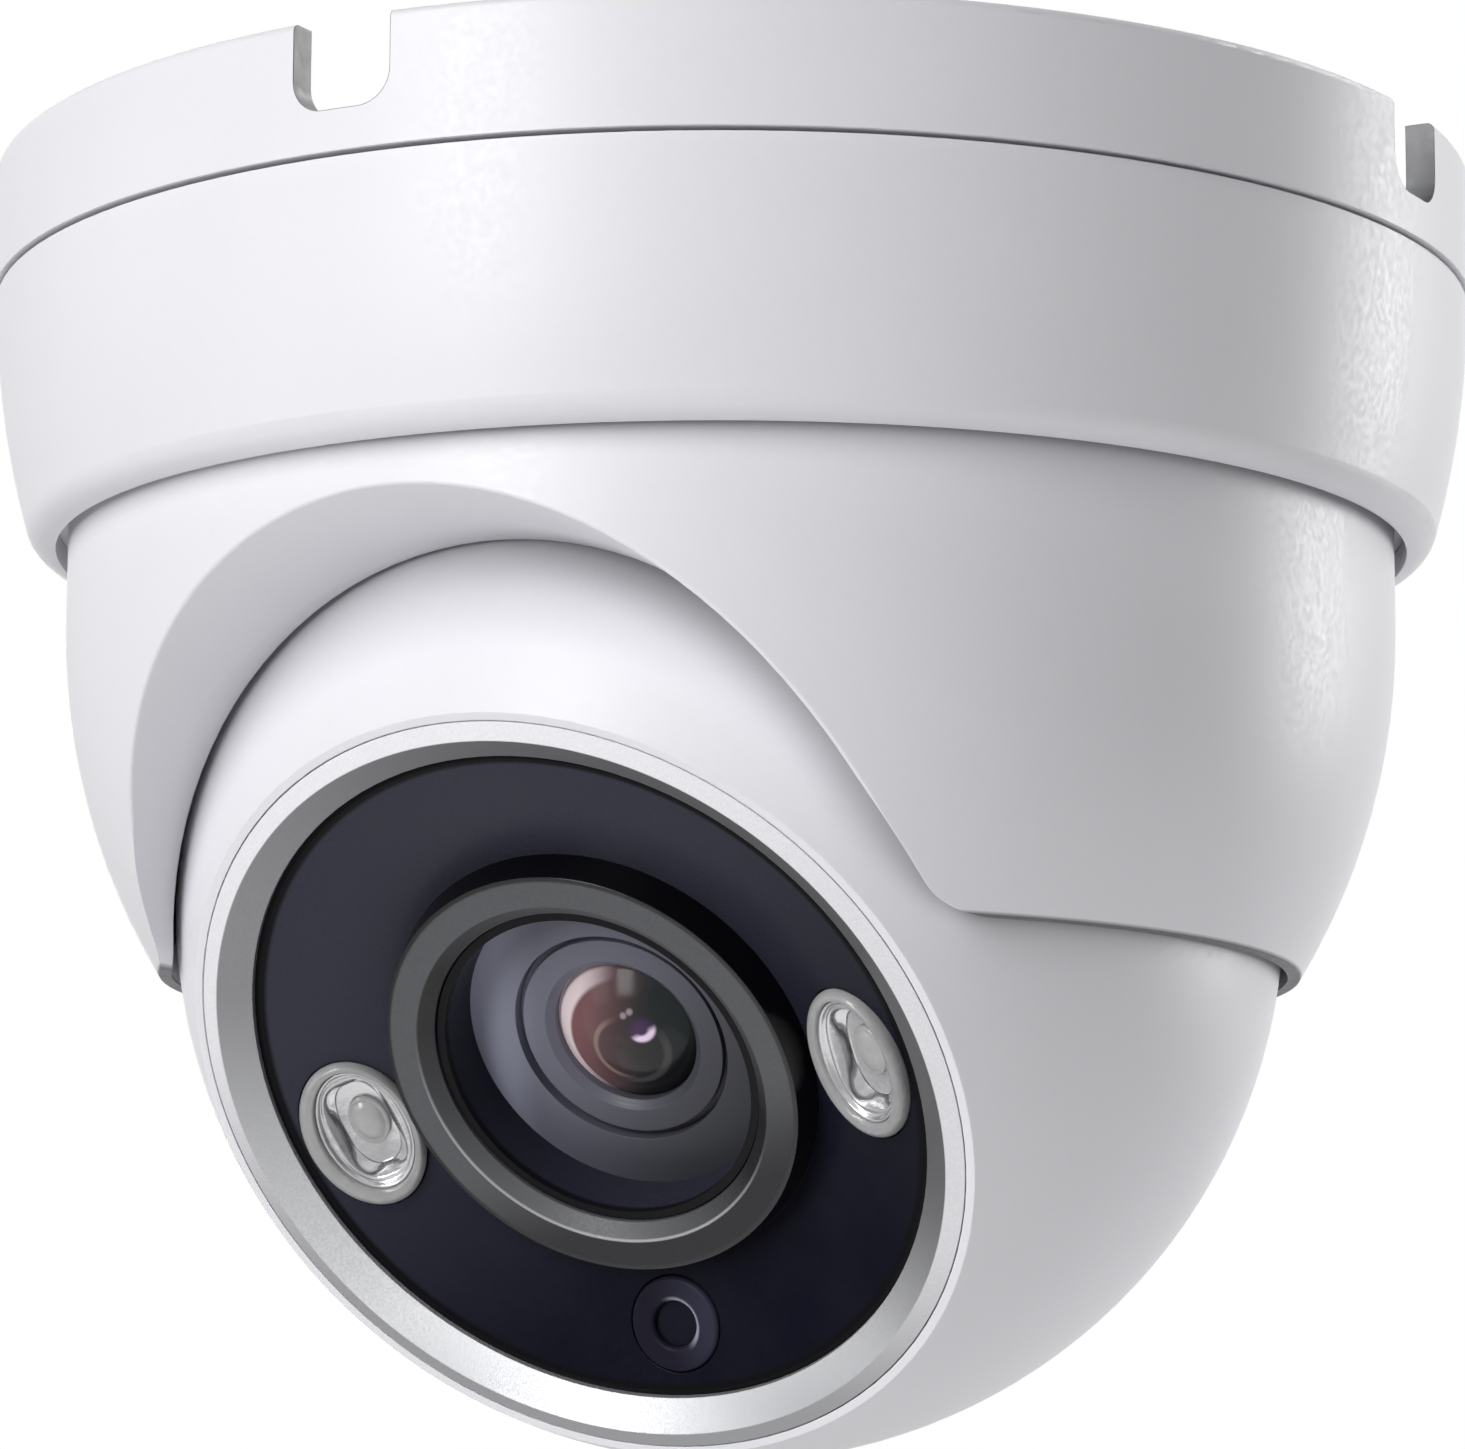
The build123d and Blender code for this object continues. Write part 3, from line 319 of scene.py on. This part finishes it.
def mask_finish():
    """Smoked face plate: navy, with painted light paler towards its upper left, a little dust, and painted shade
    black along its border.
    """
    material, tree, shader = new_material("smoked_mask", Specular_IOR_Level=0.06)
    point = eye_point(tree)
    fine = noise(tree, point, 0.5)
    # Painted light: paler towards the upper left.
    lit_upper_left = towards(tree, point, (-0.45, 0.9, 0), -20, 20)
    shade = blend(tree, lit_upper_left, (0.0035, 0.0035, 0.0105), (0.039, 0.040, 0.058))
    dusty = span(tree, noise(tree, point, 7), 0.4, 1.0, 0.0, 0.1)
    shade = blend(tree, dusty, shade, (0.06, 0.06, 0.07))
    # Painted shade: black along the border, where the plate meets the bezel.
    border_shade = span(tree, from_axis(tree, point), mask_radius - 0.4, mask_radius, smooth=True)
    shade = blend(tree, border_shade, shade, black)
    dress(tree, shader, shade, spread(tree, fine, 0.24, 0.36), fine, depth=0.002, soft_edge=0.2)
    return material


def collar_finish():
    """Collar: satin grey face with painted shade on its low side, a painted highlight at its lip, a turned bore in
    painted light and shade, and a polished black outer wall.
    """
    material, tree, shader = new_material("collar", Specular_IOR_Level=0.4)
    point = eye_point(tree)
    radius = from_axis(tree, point)
    fine = noise(tree, point, 0.22)
    shade = blend(tree, spread(tree, fine), (0.068, 0.070, 0.076), (0.084, 0.086, 0.093))
    # Painted shade on the face's low side.
    shaded_low_side = towards(tree, point, (0.25, -0.97, 0), 3.5, 12)
    shade = blend(tree, shaded_low_side, shade, (0.006, 0.006, 0.009))
    # Painted light and shade on the bore: grey towards the upper right and the lower left, black between them.
    lit = combine(tree, "ABSOLUTE", along(tree, point, (0.5, 0.87, 0)))
    turned_and_shaded = blend(tree, span(tree, lit, 2.5, 12.5), black, (0.088, 0.09, 0.095))
    bore = span(tree, radius, collar_lip - 0.1, collar_lip, 1.0, 0.0)
    shade = blend(tree, bore, shade, turned_and_shaded)
    # Painted highlight along the lip, on its low side.
    shade = arc(tree, point, shade, (0, 0), collar_lip, 0.14, (-0.35, -0.94, 0), (0.36, 0.36, 0.38))
    wall = span(tree, radius, collar_wall - 0.1, collar_wall + 0.1)
    shade = blend(tree, wall, shade, polished_black)
    polish = combine(tree, "MULTIPLY", wall, 0.32)
    gloss = combine(tree, "SUBTRACT", spread(tree, fine, 0.42, 0.56), polish)
    dress(tree, shader, shade, gloss, fine, depth=0.004, soft_edge=0.12)
    return material


def bezel_finish():
    """Bezel: blasted silver on its cone, white like the ball on its rim, both with painted shade."""
    material, tree, shader = new_material("blasted_bezel")
    point = eye_point(tree)
    fine = noise(tree, point, 0.18)
    speck = spread(tree, fine)
    silver = blend(tree, speck, (0.60, 0.605, 0.62), (0.70, 0.705, 0.72))
    # Painted shade: the cone darker towards its high side and its low side, and the rim grey on its low side.
    shaded_high_side = towards(tree, point, (0.34, 0.94, 0), -22, 2)
    silver = blend(tree, shaded_high_side, silver, (0.23, 0.23, 0.24))
    shaded_low_side = towards(tree, point, (-0.08, -1, 0), 18, 26)
    silver = blend(tree, shaded_low_side, silver, (0.40, 0.405, 0.42))
    paint = blend(tree, speck, (0.76, 0.755, 0.785), (0.84, 0.835, 0.865))
    shaded_rim = towards(tree, point, (-0.3, -0.95, 0), 2, 24)
    paint = blend(tree, shaded_rim, paint, (0.33, 0.33, 0.345))
    rim = span(tree, from_axis(tree, point), bezel_rim - 0.05, bezel_rim + 0.05)
    tree.links.new(span(tree, rim, 0, 1, 0.85, 0.0), shader.inputs["Metallic"])
    shade = blend(tree, rim, silver, paint)
    dress(tree, shader, shade, spread(tree, fine, 0.44, 0.56), fine, depth=0.008, soft_edge=0.1)
    return material


def sensor_finish():
    """Light sensor's trim: navy, paler to its right, with a painted highlight round the window."""
    material, tree, shader = new_material("sensor_trim", Specular_IOR_Level=0.05)
    point = eye_point(tree)
    fine = noise(tree, point, 0.3)
    right_side = towards(tree, point, (1, 0.3, 0), -8, -3)
    shade = blend(tree, right_side, srgb(27, 26, 38), srgb(50, 49, 64))
    # Painted highlight round the window, on its right.
    shade = arc(tree, point, shade, sensor_spot, window_radius, 0.3, (0.88, 0.47, 0), srgb(150, 150, 166))
    dress(tree, shader, shade, spread(tree, fine, 0.3, 0.42), fine, depth=0.003, soft_edge=0.15)
    return material


def smeared(tree, smear, low, high):
    """Gloss of a polished surface, dulled a little where it is smeared."""
    return span(tree, smear, 0.4, 0.7, low, high)


def painted_reflection_finish():
    """Front element of the lens, in painted reflections: rosy on one side, green-black on the other, with painted
    ghosts of the inside.
    """
    material, tree, shader = new_material("lens_painted_reflections", Specular_IOR_Level=0.14)
    point = eye_point(tree)
    across_glass = (0.95, -0.3, 0)
    reflection_spot = (0.6, -0.7)
    glint_dots = ((1.5, 2.2), (1.0, 2.0))
    rosy, green_black = srgb(132, 94, 97), srgb(42, 47, 48)
    # Painted reflections: rosy on the left, green-black on the right, with painted shade low, ghost arcs, a violet
    # glint, glint dots and a highlight along the left edge.
    shade = blend(tree, towards(tree, point, across_glass, -4.5, 2.5), rosy, green_black)
    shade = patch(tree, point, shade, reflection_spot, 2.2, 2.7, 0.35, srgb(56, 52, 52))
    shaded_low_side = towards(tree, point, (0.5, -0.85, 0), 2.5, 4.8)
    shade = blend(tree, shaded_low_side, shade, srgb(28, 27, 30))
    shade = arc(tree, point, shade, reflection_spot, 2.5, 0.3, (-1, 0, 0), srgb(138, 120, 112))
    shade = arc(tree, point, shade, reflection_spot, 2.8, 0.4, (0.6, -0.8, 0), srgb(78, 76, 77))
    shade = patch(tree, point, shade, (2.1, 0.7), 0.3, 1.3, 0.7, srgb(88, 62, 104))
    shade = arc(tree, point, shade, (2.1, 0.8), 0.7, 0.4, (0.3, -0.95, 0), srgb(246, 226, 250))
    for spot in glint_dots:
        shade = patch(tree, point, shade, spot, 0.1, 0.35, 0.6, srgb(190, 176, 184))
    edge = span(tree, from_axis(tree, point, (0.7, -0.5)), 4.7, 5.1, smooth=True)
    lit_left_edge = combine(tree, "MULTIPLY", edge, towards(tree, point, across_glass, -0.5, -3.8))
    shade = blend(tree, lit_left_edge, shade, srgb(240, 222, 225))
    smear = noise(tree, point, smear_grain)
    dress(tree, shader, shade, smeared(tree, smear, 0.12, 0.2), smear, depth=0.001)
    return material


def well_finish():
    """Rubber round the lens: navy on its wall, black along its top edge."""
    material, tree, shader = new_material("well_rubber", Specular_IOR_Level=0.15)
    point = eye_point(tree)
    fine = noise(tree, point, 0.3)
    wall = blend(tree, spread(tree, fine), srgb(34, 35, 47), srgb(40, 41, 54))
    top_edge = towards(tree, point, (0, 0, 1), well_top - 0.4, well_top)
    shade = blend(tree, top_edge, wall, polished_black)
    dress(tree, shader, shade, spread(tree, fine, 0.45, 0.6), fine, depth=0.006)
    return material


def barrel_finish():
    """Anodised lens barrel: painted light makes it lilac grey towards its upper left; it has turned rings."""
    material, tree, shader = new_material("anodised_barrel", Specular_IOR_Level=0.3)
    point = eye_point(tree)
    # Painted light: pale lilac towards the upper left and at the left edge.
    lit_upper_left = towards(tree, point, (-0.75, 0.65, 0), -11, 10)
    shade = blend(tree, lit_upper_left, srgb(48, 49, 54), srgb(116, 116, 131))
    lit_left_edge = towards(tree, point, (-0.95, 0.3, 0), 6, 11)
    shade = blend(tree, lit_left_edge, shade, srgb(164, 166, 186))
    rings = tree.nodes.new("ShaderNodeTexNoise")
    rings.noise_dimensions = "1D"
    rings.inputs["Scale"].default_value = 9.0
    tree.links.new(from_axis(tree, point), rings.inputs["W"])
    turned_and_shaded = rings.outputs["Fac"]
    dress(tree, shader, shade, spread(tree, turned_and_shaded, 0.34, 0.5), turned_and_shaded, depth=0.006, soft_edge=0.1)
    return material


def glass(name, tint):
    """Polished glass, with faint smears in its gloss."""
    material, tree, shader = new_material(name, Transmission_Weight=1.0)
    smear = noise(tree, body_point(tree), smear_grain)
    pale_tint = tuple(min(1.0, c * 1.03) for c in tint)
    shade = blend(tree, smear, tint, pale_tint)
    dress(tree, shader, shade, smeared(tree, smear, 0.01, 0.04), smear, depth=0.001)
    return material


# One finish for each material slot of the record, and a few for single nodes

finishes = {
    "white_paint": white_coat("white_powder_coat"),
    "bezel_metal": bezel_finish(),
    "black_mask": mask_finish(),
    "collar_grey": collar_finish(),
    "black_rubber": coat("rubber", (0.006, 0.006, 0.011), roughness=0.6, grain=0.3, depth=0.01, drift=0.15,
                         Specular_IOR_Level=0.2),
    "gland_plastic": coat("gland_plastic", (0.03, 0.03, 0.032), roughness=0.5, grain=0.3, depth=0.01,
                          drift=0.1),
    "lens_black": barrel_finish(),
    "holder_black": coat("holder_plastic", (0.03, 0.03, 0.03), roughness=0.55, grain=0.3, depth=0.01,
                         drift=0.1),
    "lens_glass": glass("lens_glass", (0.80, 0.62, 0.62)),
    "day_glass": glass("day_filter_glass", (0.45, 0.85, 0.80)),
    "night_glass": glass("night_filter_glass", (0.95, 0.95, 0.95)),
    "clear_cap": coat("lamp_cap", (0.43, 0.43, 0.435), roughness=0.14, grain=1.1, depth=0.08, drift=0.3,
                      Transmission_Weight=0.2),
    "bright_cup": coat("lamp_bowl", (0.50, 0.50, 0.51), roughness=0.24, grain=0.9, depth=0.05, drift=0.2,
                       Metallic=0.75),
    "lamp_chip": coat("lamp_emitter", (0.38, 0.38, 0.378), roughness=0.2, grain=0.6, depth=0.02, drift=0.15,
                      Specular_IOR_Level=0.7),
    "sensor_trim": sensor_finish(),
    "board_green": coat("solder_mask", (0.02, 0.13, 0.05), roughness=0.35, grain=0.6, depth=0.006,
                        drift=0.15),
    "chip_black": coat("chip_resin", (0.025, 0.025, 0.027), roughness=0.5, grain=0.2, depth=0.006,
                       drift=0.1),
    "steel": coat("plated_steel", (0.60, 0.60, 0.61), roughness=0.3, grain=0.2, depth=0.003, drift=0.04,
                  Metallic=1.0),
    "brass": coat("turned_brass", (0.75, 0.58, 0.28), roughness=0.3, grain=0.2, depth=0.003, drift=0.05,
                  Metallic=1.0),
    "can_metal": coat("drawn_can", (0.75, 0.75, 0.77), roughness=0.3, grain=0.3, depth=0.003, drift=0.03,
                      Metallic=1.0),
    "connector_white": coat("connector_plastic", (0.82, 0.81, 0.76), roughness=0.45, grain=0.4, depth=0.006,
                            drift=0.03),
}
own_finishes = {
    # Painted shade greys the walls of the cable notches.
    "base_housing": white_coat("white_base", bare=(notch_walls, notch_shade)),
    # Painted shade darkens the underside of the shell's rim, and the gaps on the right of the shell and the ball.
    "dome_shell": white_coat("white_shell", dust=gap_shade_colour, bare=(shell_foot, shell_foot_shade)),
    "ball_front": white_coat("white_ball", dust=gap_shade_colour),
    "lens_shroud": well_finish(),
    "front_glass": painted_reflection_finish(),
    "sensor_window": coat("sensor_window", srgb(24, 24, 36), roughness=0.3, grain=0.6, depth=0.002,
                          drift=0.1, Specular_IOR_Level=0.05),
}
for part in frame["record"]["subparts"]:
    mesh = nodes[part["node"]].data
    mesh.materials.clear()
    mesh.materials.append(own_finishes.get(part["node"], finishes[part["material_slot"]]))


# Lamps: a milky rim, a bright bowl with two beads inside it, and an emitter on the floor of the bowl

ring_steps = 72
ellipse, squarest = 2.0, 3.0
cap_half_width, cap_half_length = 4.3, 5.8
lamp_lean = Vector((0.3, 0.35, 0))
bowl_lean, emitter_lean = 1.0, 1.5


def oval(half_width, half_length, height, share, square=ellipse):
    """A ring of points, an ellipse or a squarer oval, and its share of the lamp's lean."""
    ring = []
    for step in range(ring_steps):
        turn = 2 * pi * step / ring_steps
        across_part = copysign(abs(cos(turn)) ** (2 / square), cos(turn))
        length_part = copysign(abs(sin(turn)) ** (2 / square), sin(turn))
        ring.append((half_width * across_part, half_length * length_part, height))
    return ring, share


def inset(amount, height, square=ellipse):
    """A ring inside the outline of a lamp's cap, which leans to one side as it goes in."""
    share = min(bowl_lean, amount)
    return oval(cap_half_width - amount, cap_half_length - amount, height, share, square)


def emitter(half_width, half_length, height):
    """A ring of the emitter, which leans further than the bowl round it."""
    return oval(half_width, half_length, height, emitter_lean)


def skin(mesh, rings, place, lean, hoop):
    """Adds a skin through rings of points at a place: a hoop joins its ends, anything else is capped."""
    loops = []
    for ring, share in rings:
        loops.append([mesh.verts.new(place @ (Vector(spot) + lean * share)) for spot in ring])
    following = loops[1:] + loops[:1] if hoop else loops[1:]
    for low, high in zip(loops, following):
        for step in range(len(low)):
            mesh.faces.new((low[step - 1], low[step], high[step], high[step - 1]))
    if not hoop:
        mesh.faces.new(loops[0])
        mesh.faces.new(loops[-1])


def lamp_piece(name, rings, slot, hoop=False):
    """One piece with the same skin on both lamps, riding on the eye."""
    mesh = bmesh.new()
    for angle in lamp_angles:
        place = eye_place @ Matrix.Translation((0, 0, lamp_height))
        place = place @ Matrix.Rotation(radians(angle), 4, "Z") @ Matrix.Translation((lamp_circle, 0, 0))
        place = place @ Matrix.Rotation(radians(-lamp_slope), 4, "Y")
        lean = Matrix.Rotation(radians(-angle), 3, "Z") @ lamp_lean
        skin(mesh, rings, place, lean, hoop)
    bmesh.ops.recalc_face_normals(mesh, faces=mesh.faces)
    data = bpy.data.meshes.new(name)
    mesh.to_mesh(data)
    mesh.free()
    data.shade_smooth()
    data.materials.append(finishes[slot])
    piece = bpy.data.objects.new(name, data)
    scene.collection.objects.link(piece)
    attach(piece, "eyeball")
    return piece


rim_rings = [
    # outer wall and its rounded shoulder
    inset(0, -1.0), inset(0, 0.35), inset(0.12, 0.62), inset(0.35, 0.86),
    # two beads along the top
    inset(0.55, 0.95), inset(0.68, 0.9), inset(0.8, 0.95), inset(0.92, 0.9),
    # inner wall
    inset(1.0, 0.55), inset(1.0, -1.0),
]
bowl_rings = [
    # underside
    inset(3.9, -1.2, squarest), inset(2.7, -1.15, squarest), inset(1.6, 0.1), inset(1.0, 0.3),
    # bead against the rim
    inset(1.0, 0.55), inset(1.12, 0.7), inset(1.25, 0.55), inset(1.4, 0.3, 2.2),
    # second bead, where the bowl grows squarer
    inset(1.6, 0.2, 2.4), inset(1.75, 0.34, 2.6), inset(1.9, 0.2, 2.8),
    # wall and floor
    inset(2.15, -0.4, squarest), inset(2.45, -0.88, squarest), inset(2.65, -0.95, squarest),
    inset(3.9, -1.0, squarest),
]
emitter_rings = [
    # foot and raised edge
    emitter(1.4, 1.9, -1.1), emitter(1.4, 1.9, -0.7), emitter(1.3, 1.78, -0.55),
    # groove and dome
    emitter(1.18, 1.64, -0.68), emitter(1.1, 1.52, -0.62), emitter(0.9, 1.26, -0.46),
    emitter(0.6, 0.85, -0.36), emitter(0.3, 0.4, -0.32),
]
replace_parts(lamp_piece("lamp_rims", rim_rings, "clear_cap", hoop=True), "led_caps")
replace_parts(lamp_piece("lamp_bowls", bowl_rings, "bright_cup"), "led_cups")
lamp_piece("lamp_emitters", emitter_rings, "lamp_chip")


# Floor, well below the camera, which hangs as it does from a ceiling

def seen(tree):
    """1 where the camera, a reflection or a look through glass meets a surface, 0 where light does."""
    rays = tree.nodes.new("ShaderNodeLightPath")
    shown = combine(tree, "MAXIMUM", rays.outputs["Is Camera Ray"], rays.outputs["Is Glossy Ray"])
    return combine(tree, "MAXIMUM", shown, rays.outputs["Is Transmission Ray"])


def glow(tree, kind, colour, strength):
    """A shader that gives off light of its own."""
    node = tree.nodes.new(kind)
    node.inputs["Color"].default_value = (*colour, 1.0)
    node.inputs["Strength"].default_value = strength
    return node


def show(tree, share, lit, shown, output):
    """Puts a share of what is shown over what light meets."""
    either = tree.nodes.new("ShaderNodeMixShader")
    plug(tree, either.inputs, (share, lit.outputs[0], shown.outputs[0]))
    tree.links.new(either.outputs[0], output.inputs["Surface"])


floor_height = -1.2
floor_size = 30.0
floor_paleness = 0.7
bpy.ops.mesh.primitive_plane_add(size=floor_size, location=(0, 0, floor_height))
floor = bpy.context.object
floor.name = "floor"
paper = coat("floor_paper", (0.80, 0.80, 0.80), roughness=0.8, grain=3.0, depth=0.02, drift=0.01,
             soft_edge=0)
tree = paper.node_tree
pale = glow(tree, "ShaderNodeEmission", (0.92, 0.92, 0.92), 1.0)
pale_share = combine(tree, "MULTIPLY", seen(tree), floor_paleness)
show(tree, pale_share, tree.nodes["Principled BSDF"], pale, tree.nodes["Material Output"])
floor.data.materials.append(paper)


# Soft studio light

aim_point = Vector((0, 0, -0.05))


def soft_box(name, azimuth, height, distance, width, tall, power):
    """A soft box round the object, turned to it; azimuth 0 is in front, along -Y."""
    light = bpy.data.lights.new(name, "AREA")
    light.shape = "RECTANGLE"
    light.size = width
    light.size_y = tall
    light.energy = power
    lamp = bpy.data.objects.new(name, light)
    scene.collection.objects.link(lamp)
    turn = radians(azimuth)
    lamp.location = (sin(turn) * distance, -cos(turn) * distance, height)
    lamp.rotation_euler = (aim_point - lamp.location).to_track_quat("-Z", "Y").to_euler()
    lamp.visible_camera = False


soft_box("key_light", azimuth=-9, height=0.24, distance=1.1, width=0.35, tall=1.1, power=12.2)
soft_box("fill_light", azimuth=-38, height=-0.14, distance=1.1, width=0.4, tall=0.4, power=0.9)
soft_box("low_light", azimuth=112, height=-0.5, distance=0.6, width=0.5, tall=0.5, power=0.9)
soft_box("bounce_light", azimuth=0, height=-0.75, distance=0.05, width=0.9, tall=0.9, power=1.8)
soft_box("rim_light", azimuth=143, height=0.12, distance=1.1, width=0.35, tall=0.5, power=5)
soft_box("back_light", azimuth=156, height=0.75, distance=1.1, width=0.35, tall=0.5, power=4)
soft_box("left_back_light", azimuth=-150, height=0.2, distance=1.1, width=0.5, tall=0.5, power=3.6)

world = bpy.data.worlds.new("studio")
scene.world = world
world.use_nodes = True
tree = world.node_tree
tree.nodes.clear()
ambient = glow(tree, "ShaderNodeBackground", (0.86, 0.87, 0.92), 0.06)
backdrop = glow(tree, "ShaderNodeBackground", (1.0, 1.0, 1.0), 1.0)
show(tree, seen(tree), ambient, backdrop, tree.nodes.new("ShaderNodeOutputWorld"))

# Camera at the photograph's angle, as solved on its outlines

camera_place = (0.1975, -0.3638, -0.1090)
camera_heading, camera_pitch, camera_roll = 28.476, 9.47, 0.213
view = bpy.data.cameras.new("photo_camera")
view.lens = 139.06
view.sensor_width = 36.0
camera = bpy.data.objects.new("photo_camera", view)
scene.collection.objects.link(camera)
camera_turn = Euler((radians(90 + camera_pitch), 0, radians(camera_heading))).to_matrix()
camera_turn = camera_turn @ Matrix.Rotation(radians(camera_roll), 3, "Z")
camera.matrix_world = Matrix.Translation(camera_place) @ camera_turn.to_4x4()
scene.camera = camera
scene.view_settings.view_transform = "Standard"
